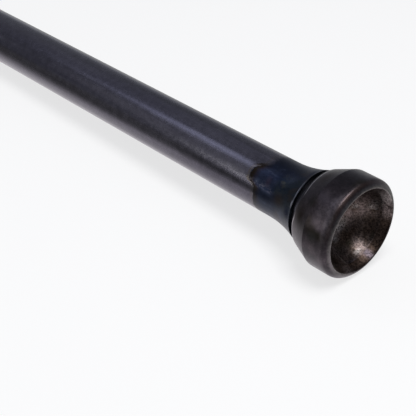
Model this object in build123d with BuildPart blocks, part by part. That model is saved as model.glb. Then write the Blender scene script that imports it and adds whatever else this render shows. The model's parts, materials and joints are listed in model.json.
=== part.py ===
"""Engine pushrod: a steel tube with a turned cup at one end and a ball at the other.

The rod lies as it comes to rest, on its cup's barrel and on its ball. It runs
along X, mouth towards +X, and the surface that it lies on is Z = 0.
"""
from build123d import *
from math import acos, asin, atan2, cos, degrees, hypot, radians, sin, tan
import os

os.makedirs("parts", exist_ok=True)

# Sizes in millimetres and degrees
overall_length = 280.0  # lip of the cup to tip of the ball
tube_diameter = 12.7
tube_wall = 1.65
flare_length = 8.5  # the tube's end widens over this length, towards the cup
flare_rise = 1.56  # how much its radius grows there
tube_edge = 0.25  # chamfer on the tube's outer edges
bore_chamfer = 0.4

seat_radius = 8.6  # spherical seat for the ball that pushes on the cup
seat_angle = 75.0  # reach of the seat, from its deepest point
mouth_depth = 1.8  # tapered band between the seat and the lip
mouth_angle = 25.0  # its slope, from the rod's axis
lip_flat = 0.08  # the lip's narrow flat, between its two chamfers
lip_chamfer = 0.13
bevel_width = 1.18
bevel_depth = 1.2
bevel_crown = 0.13  # how far the bevel bulges past a straight cone
barrel_length = 4.85
floor_thickness = 2.5  # below the seat, up to the cup's back face
back_step = 0.85  # the back face stands proud of the tube's end
back_chamfer = 0.25

neck_length = 1.6  # open groove between the cup and the tube
neck_step = 0.7  # the neck is this much below the tube's end
spigot_length = 14.0
spigot_chamfer = 0.8
fit_clearance = 0.01  # radial, pressed line to line

ball_diameter = 12.7
ball_undercut = 1.1  # the ball's neck is this much below the ball
ball_neck_length = 1.2
collar_length = 2.2

# Radii that follow from the sizes
tube_radius = tube_diameter / 2
bore_radius = tube_radius - tube_wall
spigot_radius = bore_radius - fit_clearance
flare_radius = tube_radius + flare_rise
seat_edge_radius = seat_radius * sin(radians(seat_angle))
mouth_radius = seat_edge_radius + mouth_depth * tan(radians(mouth_angle))
lip_radius = mouth_radius + lip_flat + 2 * lip_chamfer
barrel_radius = lip_radius + bevel_width
back_radius = flare_radius + back_step
neck_radius = flare_radius - neck_step
ball_radius = ball_diameter / 2
ball_neck_radius = ball_radius - ball_undercut

# Places along the rod, from the lip's plane at 0 back to the ball
seat_centre = seat_radius * cos(radians(seat_angle)) - mouth_depth
seat_floor = seat_centre - seat_radius
barrel_back = -bevel_depth - barrel_length
back_face = seat_floor - floor_thickness
tube_mouth = back_face - neck_length
flare_start = tube_mouth - flare_length
ball_centre = ball_radius - overall_length
ball_neck = ball_centre + ball_neck_radius / tan(asin(ball_neck_radius / ball_radius))
collar_face = ball_neck + ball_neck_length
tube_tail = collar_face + collar_length

# The lie: the ball and the barrel's back edge touch the surface
edge_reach = barrel_back - ball_centre
lie = acos(ball_radius / hypot(barrel_radius, edge_reach)) - atan2(edge_reach, barrel_radius)
lip_height = ball_radius - ball_centre * sin(lie)
lip_place = (ball_radius - ball_centre * cos(lie) - lip_radius * sin(lie)) / 2

rod_plane = Plane(origin=(lip_place, 0, lip_height), x_dir=(cos(lie), 0, sin(lie)), z_dir=(0, -1, 0))
rod_axis = Axis(rod_plane.origin, rod_plane.x_dir)


def corner(profile, place, radius):
    """The profile's corner at this place along the rod and at this radius."""
    return profile.vertices().sort_by_distance((place, radius))[0]


# Cup end: seat, band, lip, bevel, barrel, shoulder, neck and spigot, turned from one bar
with BuildPart() as cup_end:
    with BuildSketch(rod_plane) as cup_profile:
        with BuildLine():
            seat = CenterArc((seat_centre, 0), seat_radius, 180, -seat_angle)
            Polyline(seat @ 1, (0, mouth_radius), (0, lip_radius))
            SagittaArc((0, lip_radius), (-bevel_depth, barrel_radius), -bevel_crown)
            Polyline(
                (-bevel_depth, barrel_radius),
                (barrel_back, barrel_radius),
                (back_face, back_radius),
                (back_face, neck_radius),
                (tube_mouth, neck_radius),
                (tube_mouth, spigot_radius),
                (tube_mouth - spigot_length, spigot_radius),
                (tube_mouth - spigot_length, 0),
                seat @ 0,
            )
        make_face()
        lip_corners = [corner(cup_profile, 0, radius) for radius in (mouth_radius, lip_radius)]
        chamfer(lip_corners, lip_chamfer)
        chamfer(corner(cup_profile, back_face, back_radius), back_chamfer)
        chamfer(corner(cup_profile, tube_mouth - spigot_length, spigot_radius), spigot_chamfer)
    revolve(axis=rod_axis)

# Tube: straight for most of its length, then upset into a trumpet that faces the cup
with BuildPart() as push_tube:
    with BuildSketch(rod_plane) as tube_profile:
        with BuildLine():
            straight = Line((tube_tail, tube_radius), (flare_start, tube_radius))
            flare = TangentArc(straight @ 1, (tube_mouth, flare_radius), tangent=straight % 1)
            Polyline(flare @ 1, (tube_mouth, bore_radius), (tube_tail, bore_radius), straight @ 0)
        make_face()
        chamfer(corner(tube_profile, tube_mouth, flare_radius), tube_edge)
        chamfer(corner(tube_profile, tube_tail, tube_radius), tube_edge)
        bore_corners = [corner(tube_profile, place, bore_radius) for place in (tube_mouth, tube_tail)]
        chamfer(bore_corners, bore_chamfer)
    revolve(axis=rod_axis)

# Ball end: the ball on its short neck, a collar flush with the tube, and a spigot in the bore
with BuildPart() as ball_end:
    with BuildSketch(rod_plane) as ball_profile:
        with BuildLine():
            ball_reach = 180 - degrees(asin(ball_neck_radius / ball_radius))
            ball = CenterArc((ball_centre, 0), ball_radius, 180, -ball_reach)
            Polyline(
                ball @ 1,
                (collar_face, ball_neck_radius),
                (collar_face, tube_radius),
                (tube_tail, tube_radius),
                (tube_tail, spigot_radius),
                (tube_tail + spigot_length, spigot_radius),
                (tube_tail + spigot_length, 0),
                ball @ 0,
            )
        make_face()
        collar_corners = [corner(ball_profile, place, tube_radius) for place in (collar_face, tube_tail)]
        chamfer(collar_corners, tube_edge)
        chamfer(corner(ball_profile, tube_tail + spigot_length, spigot_radius), spigot_chamfer)
    revolve(axis=rod_axis)

cup_end.part.label = "cup_end"
push_tube.part.label = "push_tube"
ball_end.part.label = "ball_end"
export_step(cup_end.part, "parts/cup_end.step")
export_step(push_tube.part, "parts/push_tube.step")
export_step(ball_end.part, "parts/ball_end.step")
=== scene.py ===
# Looks of the engine pushrod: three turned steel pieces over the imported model, all in metres
import json
from math import asin, atan, cos, degrees, radians, sin

import bmesh
import bpy
from mathutils import Matrix, Vector


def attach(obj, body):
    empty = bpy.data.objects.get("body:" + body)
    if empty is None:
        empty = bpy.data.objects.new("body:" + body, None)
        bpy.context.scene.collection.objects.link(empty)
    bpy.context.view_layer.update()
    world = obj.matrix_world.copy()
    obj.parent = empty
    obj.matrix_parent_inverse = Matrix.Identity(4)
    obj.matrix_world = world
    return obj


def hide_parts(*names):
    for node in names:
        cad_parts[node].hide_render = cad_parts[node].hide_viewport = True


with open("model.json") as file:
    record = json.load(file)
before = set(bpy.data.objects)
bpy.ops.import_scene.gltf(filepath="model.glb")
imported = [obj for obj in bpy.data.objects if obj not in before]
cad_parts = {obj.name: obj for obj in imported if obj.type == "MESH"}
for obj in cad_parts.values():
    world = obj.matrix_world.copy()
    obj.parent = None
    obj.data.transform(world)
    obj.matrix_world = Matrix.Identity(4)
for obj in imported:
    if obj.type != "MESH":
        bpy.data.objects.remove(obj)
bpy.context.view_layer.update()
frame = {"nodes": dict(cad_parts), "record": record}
print("frame loaded:", sorted(frame["nodes"]))

millimetre = 0.001

# Cup: spherical seat, tapered band, lip, bevel, barrel, shoulder, neck and spigot
cup = {
    "seatRadius": 8.6, "seatAngle": 75.0, "seatSteps": 48, "mouthDepth": 1.8, "mouthRadius": 9.1463,
    "lipRadius": 9.4863, "lipRound": 0.13,
    "bevelDepth": 1.2, "bevelCrown": 0.13, "bevelSteps": 7,
    "barrelRadius": 10.664, "barrelBack": -6.05, "barrelRound": 0.62, "barrelBackRound": 0.12,
    "backFace": -10.6742, "backRadius": 8.76, "backEdge": 0.25, "backRise": 0.1, "backRound": 0.05,
    "neckRadius": 7.21, "spigotRadius": 4.69, "spigotLength": 14.0, "spigotEdge": 0.8, "steps": 192,
}
cup["seatCentre"] = cup["seatRadius"] * cos(radians(cup["seatAngle"])) - cup["mouthDepth"]
cup["floor"] = cup["seatCentre"] - cup["seatRadius"]

# The rod's lie, from the frame's own mount at the centre of the seat.
# Stations run along its axis in millimetres, from the lip of the cup at 0 back to the ball.
seatMount = next(mount for mount in frame["record"]["mounts"] if mount["name"] == "cup_seat")
rodAxis = Vector(seatMount["axis"]).normalized()
rodLie = asin(rodAxis.z)
lipCentre = Vector(seatMount["pos_m"]) - rodAxis * cup["seatCentre"] * millimetre
rodPlace = Matrix.Translation(lipCentre) @ Matrix.Rotation(-rodLie, 4, "Y") @ Matrix.Scale(millimetre, 4)
print("lip at", [round(place, 6) for place in lipCentre], "lie", round(degrees(rodLie), 4))

# One socket of a node tree, which sums can use: each operator adds its Math node
class Wire:
    def __init__(self, tree, socket=None):
        self.tree = tree
        self.socket = socket

    def node(self, kind, settings=None, values=None, output=0):
        made = self.tree.nodes.new("ShaderNode" + kind)
        for key, value in (settings or {}).items():
            if key == "stops":
                setStops(made.color_ramp, value)
            else:
                setattr(made, key, value)
        for key, value in (values or {}).items():
            if isinstance(value, Wire):
                self.tree.links.new(value.socket, made.inputs[key])
            else:
                made.inputs[key].default_value = value
        return Wire(self.tree, made.outputs[output]) if made.outputs else None

    def maths(self, operation, *values):
        return self.node("Math", {"operation": operation}, dict(enumerate(values)))

    def __add__(self, other):
        return self.maths("ADD", self, other)

    def __radd__(self, other):
        return self.maths("ADD", other, self)

    def __sub__(self, other):
        return self.maths("SUBTRACT", self, other)

    def __rsub__(self, other):
        return self.maths("SUBTRACT", other, self)

    def __mul__(self, other):
        return self.maths("MULTIPLY", self, other)

    def __rmul__(self, other):
        return self.maths("MULTIPLY", other, self)

    def __truediv__(self, other):
        return self.maths("DIVIDE", self, other)

    def __rtruediv__(self, other):
        return self.maths("DIVIDE", other, self)

    def size(self):
        return self.maths("ABSOLUTE", self)

    def most(self, other):
        return self.maths("MAXIMUM", self, other)

    def least(self, other):
        return self.maths("MINIMUM", self, other)

    def rise(self, low, high):  # 0 below low, 1 above high, smooth between
        steps = {"interpolation_type": "SMOOTHSTEP"}
        return self.node("MapRange", steps, {"Value": self, "From Min": low, "From Max": high})

    def hump(self, middle, reach):  # 1 at the middle, 0 from the reach on, either side
        return 1 - (self - middle).size().rise(0.0, reach)

    def paint(self, first, second):  # this mask lays the second colour over the first
        blend = {"data_type": "RGBA", "clamp_factor": True}
        return self.node("Mix", blend, {0: self, 6: first, 7: second}, output=2)

    def shadeOf(self, colour):  # the colour times this value
        blend = {"data_type": "RGBA", "blend_type": "MULTIPLY"}
        grey = self.node("CombineColor", None, {0: self, 1: self, 2: self})
        return self.node("Mix", blend, {0: 1.0, 6: colour, 7: grey}, output=2)

    def ramp(self, stops):
        return self.node("ValToRGB", {"stops": stops}, {"Fac": self})

def setStops(ramp, stops):
    while len(ramp.elements) > 1:
        ramp.elements.remove(ramp.elements[-1])
    ramp.elements[0].position, ramp.elements[0].color = stops[0]
    for place, colour in stops[1:]:
        ramp.elements.new(place).color = colour

# A steel's node tree, with the places that its patterns use, in the rod's own directions and millimetres
class Steel:
    def __init__(self, name):
        self.material = bpy.data.materials.new(name)
        self.material.use_nodes = True
        tree = self.material.node_tree
        tree.nodes.clear()
        start = Wire(tree)
        self.start = start
        self.place = start.node("Mapping", {"vector_type": "TEXTURE"}, {
            "Vector": start.node("TexCoord", output="Object"),
            "Location": lipCentre, "Rotation": (0.0, -rodLie, 0.0), "Scale": (millimetre,) * 3})
        split = {"Vector": self.place}
        self.station = start.node("SeparateXYZ", None, split, "X")
        across = start.node("SeparateXYZ", None, split, "Y")
        above = start.node("SeparateXYZ", None, split, "Z")
        self.radius = start.maths("SQRT", across * across + above * above)
        turn = start.maths("ARCTAN2", above, across * -1.0)
        self.angle = start.maths("DEGREES", turn)  # 0 faces -Y, 90 is up

    def stretched(self, along):  # the rod's places, drawn out along it
        return self.start.node("Mapping", {"vector_type": "TEXTURE"}, {
            "Vector": self.place, "Scale": (along, 1.0, 1.0)})

    def rings(self, pitch):  # places that turning marks follow, the same all round
        return self.start.node("CombineXYZ", None, {0: self.station / pitch, 1: self.radius / pitch})

    def noise(self, place, size, detail=3.0, roughness=0.5, twist=0.0):
        return self.start.node("TexNoise", None, {
            "Vector": place, "Scale": 1.0 / size, "Detail": detail,
            "Roughness": roughness, "Distortion": twist})

    def cells(self, size):
        return self.start.node("TexVoronoi", None, {"Vector": self.place, "Scale": 1.0 / size})

    def mark(self, station, along, angle, around):  # a soft patch at one place on the rod
        return self.station.hump(station, along) * self.angle.hump(angle, around)

    def layPatches(self, colour, look, listName, patterns=None):  # lays a look's list of patches, in its order
        for shade, station, along, angle, around, strength, *pattern in look[listName]:
            patch = self.mark(station, along, angle, around) * strength
            if pattern:
                patch = patch * patterns[pattern[0]]
            colour = patch.paint(colour, look[shade])
        return colour

    def sootAndShade(self, spots):  # the most of several patches, each a place and its strength
        dark, *others = [self.mark(*place) * strength for *place, strength in spots]
        for other in others:
            dark = dark.most(other)
        return dark

    def finish(self, colour, roughness, height, depth, metal=1.0):  # where it isn't metal, it is dull: soot and painted shade
        bump = self.start.node("Bump", None, {
            "Height": height, "Distance": depth * millimetre, "Strength": 1.0})
        shader = self.start.node("BsdfPrincipled", None, {
            "Base Color": colour, "Roughness": roughness, "Metallic": metal,
            "Specular IOR Level": 0.0, "Normal": bump})
        self.start.node("OutputMaterial", None, {"Surface": shader})
        return self.material

# A turned piece: its section is drawn in stations and radii, then spun about the rod's axis
class Turning:
    roundSteps = 4
    sharpAngle = 34.0
    mergeReach = 1e-4

    def __init__(self, name):
        self.name = name
        self.mesh = bmesh.new()
        self.last = None
        self.rounded = []

    def go(self, station, radius, rounding=0.0):
        corner = self.mesh.verts.new((station, 0.0, radius))
        if self.last:
            self.mesh.edges.new((self.last, corner))
        self.last = corner
        if rounding:
            self.rounded.append((corner, rounding))
        return corner

    # A positive sweep turns the axis towards the radius
    def arc(self, centreStation, centreRadius, sweep, steps):
        made = bmesh.ops.spin(self.mesh, geom=[self.last], cent=(centreStation, 0.0, centreRadius),
                              axis=(0, -1, 0), angle=radians(sweep), steps=steps, use_merge=False)
        self.last = [item for item in made["geom_last"] if isinstance(item, bmesh.types.BMVert)][0]

    def bow(self, station, radius, crown, steps, rounding):  # an arc to this corner, bulging by the crown
        half = (Vector((station, radius)) - self.last.co.xz) / 2
        outwards = Vector((half.y, -half.x)).normalized()
        swing = (half.length ** 2 + crown ** 2) / (2 * crown)
        centre = self.last.co.xz + half + outwards * (crown - swing)
        self.arc(centre.x, centre.y, degrees(2 * asin(half.length / swing)), steps)
        self.rounded.append((self.last, rounding))

    def close(self, first):
        self.mesh.edges.new((self.last, first))

    def finish(self, steps):
        mesh = self.mesh
        for corner, rounding in self.rounded:
            bmesh.ops.bevel(mesh, geom=[corner], offset=rounding, offset_type="OFFSET", affect="VERTICES",
                            segments=self.roundSteps, profile=0.5, material=-1)
        bmesh.ops.spin(mesh, geom=mesh.verts[:] + mesh.edges[:], cent=(0, 0, 0), axis=(1, 0, 0),
                       angle=radians(360), steps=steps, use_merge=True)
        bmesh.ops.remove_doubles(mesh, verts=mesh.verts[:], dist=self.mergeReach)
        bmesh.ops.recalc_face_normals(mesh, faces=mesh.faces[:])
        mesh.transform(rodPlace)
        data = bpy.data.meshes.new(self.name)
        mesh.to_mesh(data)
        mesh.free()
        data.shade_smooth()
        data.set_sharp_from_angle(angle=radians(self.sharpAngle))
        piece = bpy.data.objects.new(self.name, data)
        bpy.context.scene.collection.objects.link(piece)
        print(self.name, "turned:", len(data.polygons), "faces")
        return piece

# Tube: straight, then upset into a trumpet that faces the cup
tube = {
    "radius": 6.35, "bore": 4.70, "tail": -266.6779, "mouth": -12.2742,
    "flareLength": 8.5, "flareRise": 1.56, "flareSteps": 14,
    "edge": 0.25, "faceRound": 0.05, "sideRound": 0.08, "boreEdge": 0.4, "steps": 144,
}
tube["flareStart"] = tube["mouth"] - tube["flareLength"]
tube["flareRadius"] = tube["radius"] + tube["flareRise"]
tube["flareArc"] = (tube["flareLength"] ** 2 + tube["flareRise"] ** 2) / (2 * tube["flareRise"])
tube["flareTurn"] = 2 * degrees(atan(tube["flareRise"] / tube["flareLength"]))

turning = Turning("pushTube")
first = turning.go(tube["tail"] + tube["boreEdge"], tube["bore"])
turning.go(tube["tail"], tube["bore"] + tube["boreEdge"])
turning.go(tube["tail"], tube["radius"] - tube["edge"], tube["faceRound"])
turning.go(tube["tail"] + tube["edge"], tube["radius"], tube["sideRound"])
turning.go(tube["flareStart"], tube["radius"])
turning.arc(tube["flareStart"], tube["radius"] + tube["flareArc"], tube["flareTurn"], tube["flareSteps"])
turning.go(tube["mouth"], tube["flareRadius"] - tube["edge"], tube["faceRound"])
turning.go(tube["mouth"], tube["bore"] + tube["boreEdge"])
turning.go(tube["mouth"] - tube["boreEdge"], tube["bore"])
turning.close(first)
pushTube = turning.finish(tube["steps"])
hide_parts("push_tube")
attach(pushTube, "root")

turning = Turning("cupEnd")
turning.go(cup["floor"], 0.0)
turning.arc(cup["seatCentre"], 0.0, -cup["seatAngle"], cup["seatSteps"])
turning.go(0.0, cup["mouthRadius"], cup["lipRound"])
turning.go(0.0, cup["lipRadius"], cup["lipRound"])
turning.bow(-cup["bevelDepth"], cup["barrelRadius"], cup["bevelCrown"],
            cup["bevelSteps"], cup["barrelRound"])
turning.go(cup["barrelBack"], cup["barrelRadius"], cup["barrelBackRound"])
turning.go(cup["backFace"] + cup["backEdge"], cup["backRadius"] + cup["backRise"], cup["backRound"])
turning.go(cup["backFace"], cup["backRadius"] - cup["backEdge"], cup["backRound"])
turning.go(cup["backFace"], cup["neckRadius"])
turning.go(tube["mouth"], cup["neckRadius"])
turning.go(tube["mouth"], cup["spigotRadius"])
turning.go(tube["mouth"] - cup["spigotLength"] + cup["spigotEdge"], cup["spigotRadius"])
turning.go(tube["mouth"] - cup["spigotLength"], cup["spigotRadius"] - cup["spigotEdge"])
turning.go(tube["mouth"] - cup["spigotLength"], 0.0)
cupEnd = turning.finish(cup["steps"])
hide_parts("cup_end")
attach(cupEnd, "root")

# Ball: most of a sphere on a short neck, a collar flush with the tube, and a spigot
ball = {
    "radius": 6.35, "centre": -273.65, "ballSteps": 56, "neckRadius": 5.25,
    "collarFace": -268.8779, "collarEdge": 0.25, "faceRound": 0.05, "sideRound": 0.08,
    "spigotRadius": 4.69, "spigotLength": 14.0, "spigotEdge": 0.8, "steps": 144,
}
ball["reach"] = 180 - degrees(asin(ball["neckRadius"] / ball["radius"]))

turning = Turning("ballEnd")
turning.go(ball["centre"] - ball["radius"], 0.0)
turning.arc(ball["centre"], 0.0, -ball["reach"], ball["ballSteps"])
turning.go(ball["collarFace"], ball["neckRadius"])
turning.go(ball["collarFace"], ball["radius"] - ball["collarEdge"], ball["faceRound"])
turning.go(ball["collarFace"] + ball["collarEdge"], ball["radius"], ball["sideRound"])
turning.go(tube["tail"] - ball["collarEdge"], ball["radius"], ball["sideRound"])
turning.go(tube["tail"], ball["radius"] - ball["collarEdge"], ball["faceRound"])
turning.go(tube["tail"], ball["spigotRadius"])
turning.go(tube["tail"] + ball["spigotLength"] - ball["spigotEdge"], ball["spigotRadius"])
turning.go(tube["tail"] + ball["spigotLength"], ball["spigotRadius"] - ball["spigotEdge"])
turning.go(tube["tail"] + ball["spigotLength"], 0.0)
ballEnd = turning.finish(ball["steps"])
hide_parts("ball_end")
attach(ballEnd, "root")

# Drawn tube steel with lengthwise streaks and scuffs, blued by heat near the cup.
# A patch, whether stain, painted highlight or painted shade, is: shade, station, half length, angle, half
# width in degrees, strength, and for some a pattern that breaks it up. A spot of soot and painted shade is
# the same without a shade. A strip
# runs lengthwise: its middle and half width in degrees. From and To give where a change begins and ends.
tubeLook = {
    "bare": (0.104, 0.099, 0.122, 1), "streak": (0.077, 0.073, 0.094, 1), "scuff": (0.21, 0.20, 0.225, 1),
    "shade": (0.048, 0.046, 0.058, 1), "straw": (0.125, 0.098, 0.058, 1), "brown": (0.021, 0.015, 0.010, 1),
    "purple": (0.026, 0.022, 0.033, 1), "blue": (0.023, 0.029, 0.053, 1), "navy": (0.013, 0.018, 0.036, 1),
    "night": (0.008, 0.011, 0.022, 1), "slate": (0.018, 0.025, 0.034, 1), "haze": (0.048, 0.057, 0.090, 1),
    "lilac": (0.048, 0.038, 0.060, 1), "olive": (0.050, 0.051, 0.048, 1), "rust": (0.032, 0.025, 0.024, 1),
    "rim": (0.36, 0.37, 0.43, 1),
    "tintFront": -23.8, "lobe": 1.9, "upperDip": 0.3, "behind": 1.3, "ragged": 1.5,  # where the tint starts
    "upperFrom": (62.0, 71.0), "lobeFrom": (17.0, 29.0), "lobeTo": (48.0, 70.0), "behindFrom": (125.0, 175.0),
    "scuffedFrom": (-95.0, -40.0), "strawFringe": (-0.5, 0.65),
    # painted light on the bare steel: a highlight strip, and a band of painted shade under it
    "highlightStrip": (27.5, 8.5), "highlightFrom": (-70.0, -36.0),
    "shadeStrip": (14.0, 9.0), "shadeFrom": (-62.0, -34.0),
    "topStrip": (90.0, 24.0), "lowTo": (8.0, 24.0), "rimGlintStrip": (46.0, 30.0),
    "oxide": ((0.0, "brown"), (0.05, "brown"), (0.10, "purple"), (0.17, "blue"),
              (0.40, "blue"), (0.52, "navy"), (0.64, "slate"), (1.0, "slate")),
    "oxideDepth": 12.0,
    # a painted highlight on the bare steel, beside the highlight strip
    "bareHighlight": (("scuff", -31.0, 6.0, 31.0, 10.0, 0.6),),
    "tintStainsAndPaintedLight": (
        ("haze", -19.3, 1.1, 43.0, 10.0, 0.35),
        ("navy", -17.6, 1.0, 46.0, 12.0, 0.95),
        # painted shade low in the tint, the same band as under the bare steel's highlight strip
        ("night", -20.4, 4.0, 11.0, 13.0, 0.95),
        ("night", -22.2, 1.0, 18.0, 6.0, 0.7),
        # painted shade on the flare beside the cup
        ("night", -13.4, 1.6, 9.0, 16.0, 0.95),
        # a painted highlight where the highlight strip meets the tint
        ("haze", -23.6, 1.2, 32.0, 7.0, 0.9),
        ("haze", -16.0, 2.4, 63.0, 14.0, 1.0, "faint"),
        ("haze", -15.6, 2.0, -8.0, 22.0, 0.6, "cloudy"),
        ("lilac", -20.9, 1.1, 40.0, 16.0, 0.7),
        ("olive", -17.3, 1.6, 50.0, 28.0, 0.8, "rippled"),
        ("rust", -16.6, 2.4, 20.0, 18.0, 0.9),
    ),
    "frontStains": (("brown", -23.3, 0.9, 6.0, 17.0, 0.95), ("night", -23.0, 0.9, 8.0, 10.0, 0.7)),
    # a painted glint on the mouth's edge, and painted shade on the flare's top beside the cup
    "mouthGlintAndShade": (
        ("rim", -12.52, 0.42, 28.0, 8.5, 1.0, "chipped"),
        ("night", -13.1, 1.3, 88.0, 32.0, 0.8),
    ),
    "mouthEdge": (-12.60, -12.52), "mouthFace": (-12.34, -12.30), "mouthRim": (7.60, 7.68),
    # spots of soot and painted shade, on the flare beside the cup and low in the tint
    "sootAndShade": (
        (-13.2, 1.7, 11.0, 16.0, 0.8),
        (-21.5, 3.0, 10.0, 11.0, 0.4),
        (-13.1, 1.2, 88.0, 32.0, 0.5),
    ),
    # a painted highlight line, slanting across the tint
    "highlightLine": {"station": -21.5, "along": 3.0, "angle": 27.4, "around": 2.4, "slant": 1.4, "wobble": 9.0},
    "brownLine": {
        "station": -24.8, "along": 2.8, "angle": 65.5, "around": 4.6,
        "slant": 4.3, "from": -24.1, "wobble": 6.0,
    },
    "rough": {"base": 0.25, "streaks": 0.12, "scuffs": 0.10, "tinted": 0.13, "mottle": 0.12},
    "bumpDepth": 0.012,
}
steel = Steel("drawn tube steel")
streaks = steel.noise(steel.stretched(60.0), size=0.35, detail=4.0, roughness=0.6)
broad = steel.noise(steel.stretched(26.0), size=1.6)
cloud = steel.noise(steel.stretched(2.2), size=3.0, detail=4.0, roughness=0.6)
mottle = steel.noise(steel.place, size=1.4, detail=5.0, roughness=0.6)
fine = steel.noise(steel.place, size=0.25, roughness=0.6)
pits = steel.cells(size=1.1).rise(0.02, 0.11)
ripple = steel.noise(steel.stretched(1.8), size=0.7, detail=4.0, roughness=0.65, twist=0.6)
patterns = {
    "faint": 0.3 + 0.5 * ripple, "cloudy": cloud.rise(0.40, 0.60),
    "rippled": ripple.rise(0.45, 0.60), "chipped": 0.3 + 0.6 * mottle.rise(0.38, 0.55),
}

# The tint's front: a lobe towards the ball on the near side, and further back behind
upper = steel.angle.rise(*tubeLook["upperFrom"])
lobe = steel.angle.rise(*tubeLook["lobeFrom"]) * (1 - steel.angle.rise(*tubeLook["lobeTo"]))
behind = steel.angle.rise(*tubeLook["behindFrom"])
front = tubeLook["tintFront"] - tubeLook["lobe"] * lobe + tubeLook["upperDip"] * upper
front = front - tubeLook["behind"] * behind + (mottle - 0.5) * tubeLook["ragged"]
depth = steel.station - front  # how far inside the tint, in millimetres
tinted = depth.rise(-0.3, 0.1 + 1.2 * upper)

# Bare steel: streaks, scuffs, a painted highlight strip with painted shade under it, and a straw fringe at
# the tint
bare = broad.rise(0.35, 0.7).paint(tubeLook["bare"], tubeLook["streak"])
scuffs = steel.noise(steel.stretched(5.0), size=0.5, detail=5.0, roughness=0.7).rise(0.58, 0.74)
scuffs = scuffs * steel.station.rise(*tubeLook["scuffedFrom"])
rubbed = steel.angle.hump(*tubeLook["highlightStrip"]) * steel.station.rise(*tubeLook["highlightFrom"])
rubbed = rubbed * (0.35 + 0.65 * ripple.rise(0.42, 0.58))
bare = (scuffs * 0.45).most(rubbed * 0.85).paint(bare, tubeLook["scuff"])
underShade = steel.angle.hump(*tubeLook["shadeStrip"]) * steel.station.rise(*tubeLook["shadeFrom"])
bare = (underShade * 0.75).paint(bare, tubeLook["shade"])
bare = steel.layPatches(bare, tubeLook, "bareHighlight")
strawy = depth.hump(*tubeLook["strawFringe"]) * (0.2 + 0.6 * lobe) * mottle.rise(0.34, 0.52)
bare = strawy.paint(bare, tubeLook["straw"])

# Tint: the oxide's colours by depth, darker on top, then hazes, stains, painted highlights and shade, and the
# mouth, bright with a painted glint
oxide = [(place, tubeLook[shade]) for place, shade in tubeLook["oxide"]]
tint = (depth / tubeLook["oxideDepth"] + (mottle - 0.5) * 0.08).ramp(oxide)
tint = (upper * 0.95).paint(tint, tubeLook["navy"])
tint = (steel.angle.hump(*tubeLook["topStrip"]) * 0.5).paint(tint, tubeLook["night"])
tint = ((1 - steel.angle.rise(*tubeLook["lowTo"])) * 0.5).paint(tint, tubeLook["slate"])
tint = (ripple.rise(0.54, 0.74) * (0.2 + 0.35 * depth.hump(4.2, 3.6))).paint(tint, tubeLook["haze"])
tint = ((1 - ripple.rise(0.36, 0.50)) * 0.6).paint(tint, tubeLook["navy"])
tint = steel.layPatches(tint, tubeLook, "tintStainsAndPaintedLight", patterns)
tint = (cloud.rise(0.52, 0.66) * depth.rise(5.5, 7.5) * 0.6).paint(tint, tubeLook["rust"])
tint = steel.layPatches(tint, tubeLook, "frontStains")
# a painted highlight: a bright line slanting across the tint
line = tubeLook["highlightLine"]
slant = steel.angle + line["slant"] * steel.station + line["wobble"] * (ripple - 0.5)
highlightLine = slant.hump(line["angle"], line["around"]) * steel.station.hump(line["station"], line["along"])
tint = (highlightLine * 0.7).paint(tint, tubeLook["haze"])
# the painted highlight strip, fading into the tint
tint = (rubbed * ripple.rise(0.46, 0.60) * (1 - depth.rise(4.0, 8.0)) * 0.3).paint(tint, tubeLook["scuff"])
# a painted glint on the mouth's outer edge, brightest on one side
outerRim = steel.radius.rise(*tubeLook["mouthRim"])
mouthEdge = steel.station.rise(*tubeLook["mouthEdge"]) * outerRim
tint = (mouthEdge * (0.05 + 0.60 * steel.angle.hump(*tubeLook["rimGlintStrip"]))).paint(tint, tubeLook["rim"])
tint = steel.layPatches(tint, tubeLook, "mouthGlintAndShade", patterns)
tint = (steel.station.rise(*tubeLook["mouthFace"]) * (1 - outerRim)).paint(tint, tubeLook["slate"])
tubeColour = tinted.paint(bare, tint)
line = tubeLook["brownLine"]  # where the tint's front climbs over the top
slant = steel.angle - line["slant"] * (steel.station - line["from"]) + line["wobble"] * (mottle - 0.5)
brownLine = steel.station.hump(line["station"], line["along"]) * slant.hump(line["angle"], line["around"])
tubeColour = (brownLine * 0.9).paint(tubeColour, tubeLook["brown"])
speckle = (fine * 0.5 + mottle * 0.5).rise(0.34, 0.66)
tubeColour = (0.60 + 0.20 * pits + 0.40 * speckle).shadeOf(tubeColour)
rough = tubeLook["rough"]
tubeRough = rough["base"] + rough["streaks"] * (streaks - 0.5) + rough["scuffs"] * scuffs
tubeRough = tubeRough + rough["tinted"] * tinted + rough["mottle"] * (mottle - 0.5)
tubeHeight = streaks * 0.5 + fine * 0.35 + pits * 0.5
metal = 1 - steel.sootAndShade(tubeLook["sootAndShade"]) * tinted
pushTube.data.materials.append(steel.finish(tubeColour, tubeRough, tubeHeight, tubeLook["bumpDepth"], metal))
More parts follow.
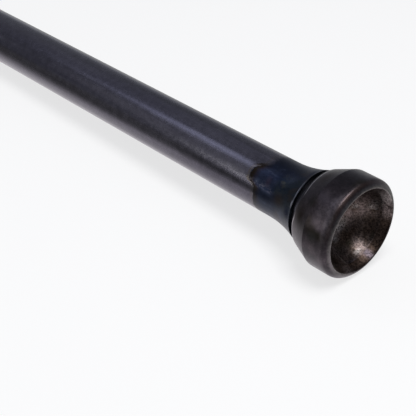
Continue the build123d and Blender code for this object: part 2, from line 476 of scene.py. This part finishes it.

# Cup steel: a matte grey-brown phosphate coat, worn bright on its edges under a painted glint, with turning
# marks and pits in the bowl. Its patches, of stain or of painted light and shade, its spots of soot and
# painted shade, and its strips are listed as the tube's are, and a ring goes round the cup: its station and
# half length.
cupLook = {
    "coat": (0.045, 0.037, 0.043, 1), "coatDark": (0.029, 0.025, 0.029, 1),
    "brown": (0.040, 0.027, 0.024, 1), "olive": (0.029, 0.030, 0.027, 1),
    "pale": (0.085, 0.070, 0.077, 1), "rubbed": (0.135, 0.115, 0.125, 1),
    "worn": (0.20, 0.175, 0.188, 1), "edge": (0.40, 0.38, 0.40, 1), "lip": (0.115, 0.110, 0.106, 1),
    "bowl": (0.098, 0.077, 0.073, 1), "bowlDark": (0.044, 0.032, 0.025, 1),
    "bowlDeep": (0.028, 0.018, 0.013, 1), "bowlPale": (0.17, 0.155, 0.150, 1),
    "ring": (0.020, 0.017, 0.013, 1), "pit": (0.010, 0.007, 0.006, 1), "oily": (0.020, 0.022, 0.030, 1),
    "scratch": (0.20, 0.18, 0.17, 1), "band": (0.105, 0.086, 0.082, 1),
    "bandBright": (0.30, 0.27, 0.26, 1), "bandDim": (0.048, 0.040, 0.047, 1),
    "groove": (0.026, 0.025, 0.029, 1), "grooveLow": (0.048, 0.046, 0.055, 1),
    "topShadeFrom": (50.0, 70.0), "brownRing": (-0.72, 0.62), "brownFrom": (6.0, 30.0),
    # the worn edge and its painted glint, brighter and dimmer round the cup
    "wornRing": (-1.30, 1.15), "wornGlintStrip": (33.0, 36.0), "glintSpot": (-1.60, 0.8, 29.0, 9.0),
    "glintStrip": (28.0, 10.0), "dimmedGlintStrip": (58.0, 14.0),
    # the lip's painted highlight, and where it fades on the side away from the light
    "lipReach": 0.50, "lipInside": 0.30, "lipFrom": (-100.0, -68.0), "lipTo": (146.0, 166.0),
    "edgeShifts": ((0.24, 4.0, 20.0), (0.22, 28.0, 44.0), (-0.14, 52.0, 66.0)),  # how far, and from where
    # painted shade in the groove, lighter low down
    "grooveEdge": (-10.46, -10.42), "grooveFrom": (36.0, 54.0),
    # painted highlights: a line on the neck and the cup's back edge
    "neckSide": (7.22, 7.28), "neckHighlightRing": (-11.42, 0.20), "neckHighlightStrip": (57.0, 17.0),
    "backGlintRing": (-10.36, 0.15), "backTo": (12.0, 24.0), "backFrom": (42.0, 54.0),
    "bowlRadius": (9.30, 9.34), "bowlFloor": (-8.5, -8.4),
    # a ring of painted shade just inside the seat's edge, on the far side
    "shadeRing": (-2.25, 0.65), "outerFrom": (120.0, 145.0), "outerTo": (-158.0, -140.0),
    # on the band: a painted reflection on one side, painted shade on the other, on the far wall and by the
    # lip
    "seatEdge": (-1.85, -1.75), "brightWall": (150.0, 22.0), "darkWall": (-56.0, 20.0),
    "farWallShade": {"angle": -125.0, "to": (40.0, 56.0)}, "dimStrip": (-117.0, 9.5), "nearLipShade": (-0.80, -0.30),
    # painted shade round the barrel's glint and on the back shoulder, and a painted floor reflection low on
    # the barrel
    "underShadeAndSheen": (
        ("ring", -5.4, 1.3, 25.0, 13.0, 0.8),
        ("ring", -4.0, 4.0, 15.5, 7.5, 0.8),
        ("ring", -6.4, 2.2, 44.0, 14.0, 0.7),
        ("pit", -8.4, 2.9, 22.0, 25.0, 1.0),
        ("pale", -3.7, 1.7, -3.0, 11.0, 1.0, "soft"),
        ("pale", -1.6, 1.5, -15.0, 10.0, 1.0, "soft"),
    ),
    # stains, painted highlights where the barrel glints, and painted shade round them, over the top and on
    # the back shoulder
    "coatStainsShadeAndSheen": (
        ("ring", -2.2, 1.6, 13.0, 7.5, 0.85),
        ("pale", -3.6, 2.3, 42.0, 25.0, 1.0, "patchy"),
        ("rubbed", -2.0, 1.5, 44.0, 25.0, 1.0, "rubbed"),
        ("ring", -1.5, 1.2, 89.0, 17.0, 0.9),
        ("pale", -3.2, 2.2, 31.0, 12.0, 0.8, "broken"),
        ("rubbed", -3.7, 1.3, 35.0, 9.0, 0.4),
        ("ring", -4.2, 1.3, 20.0, 8.0, 0.6),
        ("worn", -1.75, 0.6, 60.0, 12.0, 0.4),
        ("pit", -8.3, 2.4, 80.0, 24.0, 0.7),
        ("pale", -4.7, 1.8, 57.0, 14.0, 0.4),
        ("olive", -3.8, 1.9, 10.0, 9.0, 0.7),
    ),
    "bevelStains": (("ring", -0.85, 0.45, 37.0, 12.0, 0.7),),
    "lipStains": (("worn", 0.0, 0.28, -20.0, 22.0, 0.5), ("pale", -0.60, 0.8, 110.0, 20.0, 0.5)),
    "bowlPatches": (
        ("bowlDeep", -5.6, 1.6, -130.0, 56.0, 0.95),
        ("bowlPale", -7.3, 0.75, -122.0, 42.0, 0.85),
        ("bowlDeep", -2.9, 2.4, -147.0, 22.0, 0.9),
        ("bowlDeep", -3.0, 2.4, -70.0, 34.0, 0.45),
        ("pit", -4.3, 1.9, -91.0, 20.0, 0.75),
        ("ring", -5.2, 1.1, -88.0, 18.0, 0.6),
        ("bowlDeep", -2.85, 2.0, -161.0, 15.0, 0.7),
        ("ring", -2.3, 0.9, -140.0, 12.0, 0.8),
        ("ring", -6.3, 0.6, -128.0, 10.0, 0.7),
        ("ring", -4.9, 1.1, -110.0, 16.0, 0.95),
        ("bowlPale", -2.75, 0.7, -109.0, 11.0, 0.8),
        ("bowlPale", -3.9, 1.3, 174.0, 15.0, 0.35),
        ("bowlPale", -6.3, 0.8, 175.0, 14.0, 0.5),
        ("ring", -5.6, 0.7, 161.0, 10.0, 0.5),
        ("bowlPale", -3.0, 0.6, 179.0, 8.0, 0.6),
        ("bowlPale", -1.95, 0.5, 164.0, 20.0, 0.6),
        ("band", -2.45, 0.9, -76.0, 16.0, 0.6),
        ("bowlPale", -6.6, 0.8, -88.0, 15.0, 0.7),
        ("bowlPale", -3.0, 1.2, 167.0, 14.0, 0.5),
        ("oily", -2.0, 1.0, -88.0, 18.0, 0.6),
        ("scratch", -3.95, 0.55, 176.0, 5.0, 1.0, "grainy"),
        ("pit", -3.40, 0.42, 164.0, 3.6, 1.0),
    ),
    # soot and painted shade on the back shoulder
    "sootAndShade": (
        (-8.0, 3.0, 25.0, 20.0, 0.7),
        (-8.3, 2.4, 80.0, 24.0, 0.5),
    ),
    "scratchLine": {"station": -3.4, "along": 1.8, "angle": -82.8, "around": 1.8, "slant": 1.4},
    "crack": {
        "slope": 8.7, "start": 176.7, "end": 170.4, "wobble": 3.0,
        "around": 3.6, "station": -0.76, "along": 0.80,
    },
    "crackFoot": (-1.38, 0.38, 164.5, 3.6),
    "rough": {"base": 0.34, "inside": 0.02, "mottle": 0.14, "worn": 0.18, "grain": 0.10, "pits": 0.15},
    "bumpDepth": 0.02, "insideSoot": 0.12,
}
steel = Steel("phosphated cup steel")
cloud = steel.noise(steel.place, size=3.2, detail=5.0, roughness=0.6)
mottle = steel.noise(steel.place, size=0.9, detail=4.0, roughness=0.6)
grain = steel.noise(steel.place, size=0.42, detail=2.0)
fine = steel.noise(steel.place, size=0.2, roughness=0.6)
turned = steel.noise(steel.rings(pitch=0.12), size=1.0, detail=2.0)
pittedPatches = steel.noise(steel.place, size=2.2, detail=1.0).rise(0.50, 0.58)
bigPits = (1 - steel.cells(size=1.3).rise(0.05, 0.15)) * pittedPatches
smallPits = (1 - steel.cells(size=0.46).rise(0.14, 0.34)) * (0.35 + 0.65 * cloud.rise(0.42, 0.58))
pits = bigPits.most(smallPits)
patches = mottle.rise(0.35, 0.60)
patterns = {
    "soft": 0.3 + 0.5 * mottle, "patchy": 0.55 + 0.45 * patches, "rubbed": 0.4 + 0.6 * patches,
    "broken": 0.3 + 0.7 * mottle.rise(0.40, 0.58), "grainy": grain.rise(0.3, 0.6),
}

# Outside: the coat, with its rubbed patches under painted highlights and its dark patches of painted shade
coat = cloud.rise(0.38, 0.64).paint(cupLook["coat"], cupLook["coatDark"])
coat = (mottle.rise(0.5, 0.75) * 0.5).paint(coat, cupLook["pale"])
coat = steel.layPatches(coat, cupLook, "underShadeAndSheen", patterns)
# painted shade: the top of the cup darker
coat = (steel.angle.rise(*cupLook["topShadeFrom"]) * 0.6).paint(coat, cupLook["coatDark"])
coat = steel.layPatches(coat, cupLook, "coatStainsShadeAndSheen", patterns)
brownRing = steel.station.hump(*cupLook["brownRing"]) * steel.angle.rise(*cupLook["brownFrom"])
coat = (brownRing * 0.95).paint(coat, cupLook["brown"])
coat = steel.layPatches(coat, cupLook, "bevelStains")

# The worn edge between bevel and barrel with its painted glint, and the lip's painted highlight, duller on
# the sides that face away from the light
worn = 0.35 + 0.65 * steel.noise(steel.place, size=2.6, roughness=0.6).rise(0.42, 0.60)
wornEdgeGlint = steel.station.hump(*cupLook["wornRing"]) * worn
wornEdgeGlint = wornEdgeGlint * (0.30 + 0.70 * steel.angle.hump(*cupLook["wornGlintStrip"]))
wornEdgeGlint = wornEdgeGlint.most(steel.mark(*cupLook["glintSpot"]) * (0.6 + 0.6 * mottle))
wornGlintShare = 0.17 + 0.43 * mottle + 0.22 * steel.angle.hump(*cupLook["glintStrip"])
wornGlintShare = wornGlintShare - 0.15 * steel.angle.hump(*cupLook["dimmedGlintStrip"])
coat = (wornEdgeGlint * wornGlintShare).paint(coat, cupLook["worn"])
lipDark = steel.angle.rise(*cupLook["lipTo"]) * 0.9
lipLight = steel.angle.rise(*cupLook["lipFrom"]) * (1 - lipDark)
lipEdge = steel.station.hump(0.0, cupLook["lipReach"]) * patterns["patchy"] * lipLight
coat = (lipEdge * 0.75).paint(coat, cupLook["lip"])
coat = steel.layPatches(coat, cupLook, "lipStains")

# The groove's painted shade, the painted highlight line on its neck, and the back edge's painted highlight,
# which all shift round the rod
edgeStation = steel.station
for shift, *angles in cupLook["edgeShifts"]:
    edgeStation = edgeStation - shift * steel.angle.rise(*angles)
# painted shade over the groove
groove = steel.angle.rise(*cupLook["grooveFrom"]).paint(cupLook["grooveLow"], cupLook["groove"])
coat = (1 - edgeStation.rise(*cupLook["grooveEdge"])).paint(coat, groove)
onNeck = 1 - steel.radius.rise(*cupLook["neckSide"])
# a painted highlight line on the neck
neckHighlight = steel.station.hump(*cupLook["neckHighlightRing"]) * onNeck * steel.angle.hump(*cupLook["neckHighlightStrip"])
coat = neckHighlight.paint(coat, cupLook["edge"])
# a painted highlight on the cup's back edge, on the sides where it shows
backGlint = 1 - steel.angle.rise(*cupLook["backTo"]) + steel.angle.rise(*cupLook["backFrom"])
coat = (edgeStation.hump(*cupLook["backGlintRing"]) * backGlint).paint(coat, cupLook["edge"])

# Inside: the seat with its darker and lighter patches, a dark outer ring of painted shade and a scratch
inside = (1 - steel.radius.rise(*cupLook["bowlRadius"])) * steel.station.rise(*cupLook["bowlFloor"])
bowl = cloud.rise(0.40, 0.66).paint(cupLook["bowl"], cupLook["bowlDark"])
bowl = steel.layPatches(bowl, cupLook, "bowlPatches", patterns)
farSide = steel.angle.rise(*cupLook["outerFrom"]) + (1 - steel.angle.rise(*cupLook["outerTo"]))
bowl = (steel.station.hump(*cupLook["shadeRing"]) * farSide * 0.10).paint(bowl, cupLook["ring"])
line = cupLook["scratchLine"]
slant = steel.angle + line["slant"] * steel.station
scratch = slant.hump(line["angle"], line["around"]) * steel.station.hump(line["station"], line["along"])
bowl = (scratch * 0.8).paint(bowl, cupLook["scratch"])

# The band above the seat: a painted reflection on one side, painted shade on the other and by the lip, with a
# lilac streak and a crack
band = (steel.angle.hump(*cupLook["brightWall"]) * 0.80).paint(cupLook["band"], cupLook["bandBright"])
# painted shade on the band's far wall
farWallShade = 1 - (steel.angle - cupLook["farWallShade"]["angle"]).size().rise(*cupLook["farWallShade"]["to"])
band = (farWallShade * 0.90).paint(band, cupLook["bowlDeep"])
band = (steel.angle.hump(*cupLook["darkWall"]) * 0.9).paint(band, cupLook["bowlDeep"])
streak = steel.angle.hump(*cupLook["dimStrip"])
band = (streak * 0.9).paint(band, cupLook["bandDim"])
line = cupLook["crack"]  # it climbs aslant across the band, then straight to the lip
crackLine = (line["slope"] * steel.station + line["start"]).least(line["end"])
crack = (steel.angle - crackLine + line["wobble"] * (grain - 0.5)).hump(0.0, line["around"])
crack = crack * steel.station.hump(line["station"], line["along"])
crack = crack.most(steel.mark(*cupLook["crackFoot"]))
band = crack.paint(band, cupLook["pit"])
# painted shade by the lip
nearLipShade = 0.63 * steel.station.rise(*cupLook["nearLipShade"]) * (1 - 0.8 * streak)
band = (nearLipShade * farWallShade.most(lipDark)).paint(band, cupLook["pit"])
onBand = steel.station.rise(*cupLook["seatEdge"])
bowl = onBand.paint(bowl, band)
# the lip's painted highlight on its inside edge
bowl = (steel.station.hump(0.0, cupLook["lipInside"]) * 0.7 * lipLight).paint(bowl, cupLook["lip"])

# The whole cup: speckled all over, and pitted in the seat
cupColour = inside.paint(coat, bowl)
speckle = (grain * 0.5 + fine * 0.5).rise(0.34, 0.66)
cupColour = (0.74 + 0.34 * speckle + 0.20 * mottle + inside * (1.3 * speckle - 0.50)).shadeOf(cupColour)
cupColour = (pits * inside * (1 - onBand) * 0.9).paint(cupColour, cupLook["pit"])
rough = cupLook["rough"]
cupRough = rough["base"] - rough["inside"] * inside + rough["mottle"] * (mottle - 0.5)
cupRough = cupRough + rough["worn"] * wornEdgeGlint + rough["grain"] * (grain - 0.5)
cupRough = cupRough + rough["pits"] * pits * inside
cupHeight = turned * 0.3 + fine * 0.5 + grain * (0.5 + 0.5 * inside) - pits * inside * 0.7
metal = 1 - cupLook["insideSoot"] * inside - steel.sootAndShade(cupLook["sootAndShade"])
cupEnd.data.materials.append(steel.finish(cupColour, cupRough, cupHeight, cupLook["bumpDepth"], metal))

# Ball steel: ground and polished, with faint rings
ballLook = {
    "ground": (0.30, 0.29, 0.29, 1), "dark": (0.17, 0.165, 0.17, 1), "bumpDepth": 0.01,
    "rough": {"base": 0.20, "rings": 0.10, "mottle": 0.08},
}
steel = Steel("ground ball steel")
mottle = steel.noise(steel.place, size=1.1, detail=4.0, roughness=0.6)
rings = steel.noise(steel.rings(pitch=0.10), size=1.0, detail=2.0)
fine = steel.noise(steel.place, size=0.2, roughness=0.6)
ballColour = mottle.rise(0.4, 0.7).paint(ballLook["ground"], ballLook["dark"])
rough = ballLook["rough"]
ballRough = rough["base"] + rough["rings"] * (rings - 0.5) + rough["mottle"] * (mottle - 0.5)
ballHeight = rings * 0.5 + fine * 0.3
ballEnd.data.materials.append(steel.finish(ballColour, ballRough, ballHeight, ballLook["bumpDepth"]))
print("steels mixed")

# Floor: pale, white to the eye, and it keeps a soft shadow. The metal sees a white pool round the rod,
# and a dimmer sheet past it: on this side darker towards the ball, behind a little lighter.
floorLook = {
    "size": 12.0, "colour": (0.93, 0.93, 0.93, 1), "whiteShare": 0.72, "fibreScale": 900.0, "fibre": 0.015,
    "poolLength": 0.155, "poolEdge": (0.008, 0.020),  # half length, and where it begins and ends to fade
    "widening": 0.010,  # how much wider it is beside the cup
    "cupSide": (0.02, 0.13), "behindRod": (-0.01, 0.03),
    "lit": (1.0, 0.96, 1.0, 1), "nearBall": (0.21, 0.21, 0.21, 1), "nearCup": (0.36, 0.36, 0.36, 1),
    "far": (0.58, 0.58, 0.58, 1),
}
floorMesh = bmesh.new()
bmesh.ops.create_grid(floorMesh, x_segments=2, y_segments=2, size=floorLook["size"] / 2)
floorData = bpy.data.meshes.new("floor")
floorMesh.to_mesh(floorData)
floorMesh.free()
floor = bpy.data.objects.new("floor", floorData)
bpy.context.scene.collection.objects.link(floor)
paper = bpy.data.materials.new("pale paper")
paper.use_nodes = True
paper.node_tree.nodes.clear()
start = Wire(paper.node_tree)
spot = {"Vector": start.node("TexCoord", output="Object")}
along = start.node("SeparateXYZ", None, spot, "X")
beside = start.node("SeparateXYZ", None, spot, "Y")
byCup = along.rise(*floorLook["cupSide"])
past = (along.size() - floorLook["poolLength"]).most(0.0)
reach = start.maths("SQRT", past * past + beside * beside) - floorLook["widening"] * byCup
pool = 1 - reach.rise(*floorLook["poolEdge"])
dim = byCup.paint(floorLook["nearBall"], floorLook["nearCup"])
dim = beside.rise(*floorLook["behindRod"]).paint(dim, floorLook["far"])
fibre = start.node("TexNoise", None, {**spot, "Scale": floorLook["fibreScale"], "Detail": 2.0})
sheet = (1 - floorLook["fibre"] + floorLook["fibre"] * fibre).shadeOf(floorLook["colour"])
dull = start.node("BsdfDiffuse", None, {"Color": sheet})
white = start.node("Emission", None, {"Color": (1, 1, 1, 1), "Strength": 1.0})
mirrored = start.node("Emission", None, {"Color": pool.paint(dim, floorLook["lit"]), "Strength": 1.0})
eye = start.node("LightPath", output="Is Camera Ray")
eye = eye.most(start.node("LightPath", output="Is Transmission Ray"))
shown = start.node("MixShader", None, {0: eye * floorLook["whiteShare"], 1: dull, 2: white})
gloss = start.node("LightPath", output="Is Glossy Ray")
shown = start.node("MixShader", None, {0: gloss, 1: shown, 2: mirrored})
start.node("OutputMaterial", None, {"Surface": shown})
floorData.materials.append(paper)

# Light: a dim pale studio that brightens behind the rod near the floor, and soft lamps.
# A lamp is: name, aim, azimuth and elevation it shines from, distance, size, watts, colour.
studio = {
    "world": 0.26, "sky": (0.96, 1.0, 1.14, 1),
    "glow": 0.30, "glowHeight": (0.04, 0.13), "glowSide": (0.0, 0.3),
    "lamps": (
        ("overhead", (0.135, 0.0, 0.01), -20.0, 77.0, 0.45, (0.20, 0.20), 1.5, (1, 1, 1)),
        ("left", (0.13, 0.0, 0.01), -121.0, 6.0, 0.40, (0.06, 0.10), 0.095, (1, 1, 1)),
        ("leftSoft", (0.12, 0.0, 0.01), -140.0, 25.0, 0.34, (0.14, 0.16), 0.018, (1, 1, 1)),
        ("leftHigh", (0.105, 0.0, 0.01), -155.0, 44.0, 0.40, (0.11, 0.10), 0.046, (0.92, 0.99, 1.2)),
        ("behind", (0.05, 0.0, 0.01), 172.0, 45.0, 0.50, (0.50, 0.16), 0.045, (0.93, 0.97, 1.15)),
    ),
}
world = bpy.data.worlds.new("studio")
world.use_nodes = True
world.node_tree.nodes.clear()
start = Wire(world.node_tree)
away = {"Vector": start.node("TexCoord", output="Generated")}
low = 1 - start.node("SeparateXYZ", None, away, "Z").rise(*studio["glowHeight"])
back = start.node("SeparateXYZ", None, away, "Y").rise(*studio["glowSide"])
sky = start.node("Background", None, {
    "Color": studio["sky"], "Strength": studio["world"] + studio["glow"] * low * back})
start.node("OutputWorld", None, {"Surface": sky})
bpy.context.scene.world = world

def softLamp(name, aim, azimuth, elevation, distance, size, power, colour):
    data = bpy.data.lights.new(name, "AREA")
    data.shape = "RECTANGLE"
    data.size, data.size_y = size
    data.energy = power
    data.color = colour
    lamp = bpy.data.objects.new(name, data)
    bpy.context.scene.collection.objects.link(lamp)
    turn = radians(azimuth)
    lift = radians(elevation)
    towards = Vector((cos(turn) * cos(lift), sin(turn) * cos(lift), sin(lift)))
    lamp.location = Vector(aim) + towards * distance
    lamp.rotation_mode = "QUATERNION"
    lamp.rotation_quaternion = towards.to_track_quat("Z", "Y")
    lamp.visible_camera = False

for lamp in studio["lamps"]:
    softLamp(*lamp)
print("floor and lamps set")

# Camera: the photograph's place, found from the rod's own outline
lens = {
    "place": (0.23327, -0.12541, 0.12102), "down": 34.300, "turn": 47.696,
    "length": 84.360, "sensor": 36.0, "clip": (0.01, 20.0),
}
cameraData = bpy.data.cameras.new("camera")
cameraData.lens = lens["length"]
cameraData.sensor_width = lens["sensor"]
cameraData.clip_start, cameraData.clip_end = lens["clip"]
camera = bpy.data.objects.new("camera", cameraData)
bpy.context.scene.collection.objects.link(camera)
camera.location = lens["place"]
camera.rotation_euler = (radians(90 - lens["down"]), 0.0, radians(lens["turn"]))
bpy.context.scene.camera = camera
bpy.context.scene.view_settings.view_transform = "Standard"
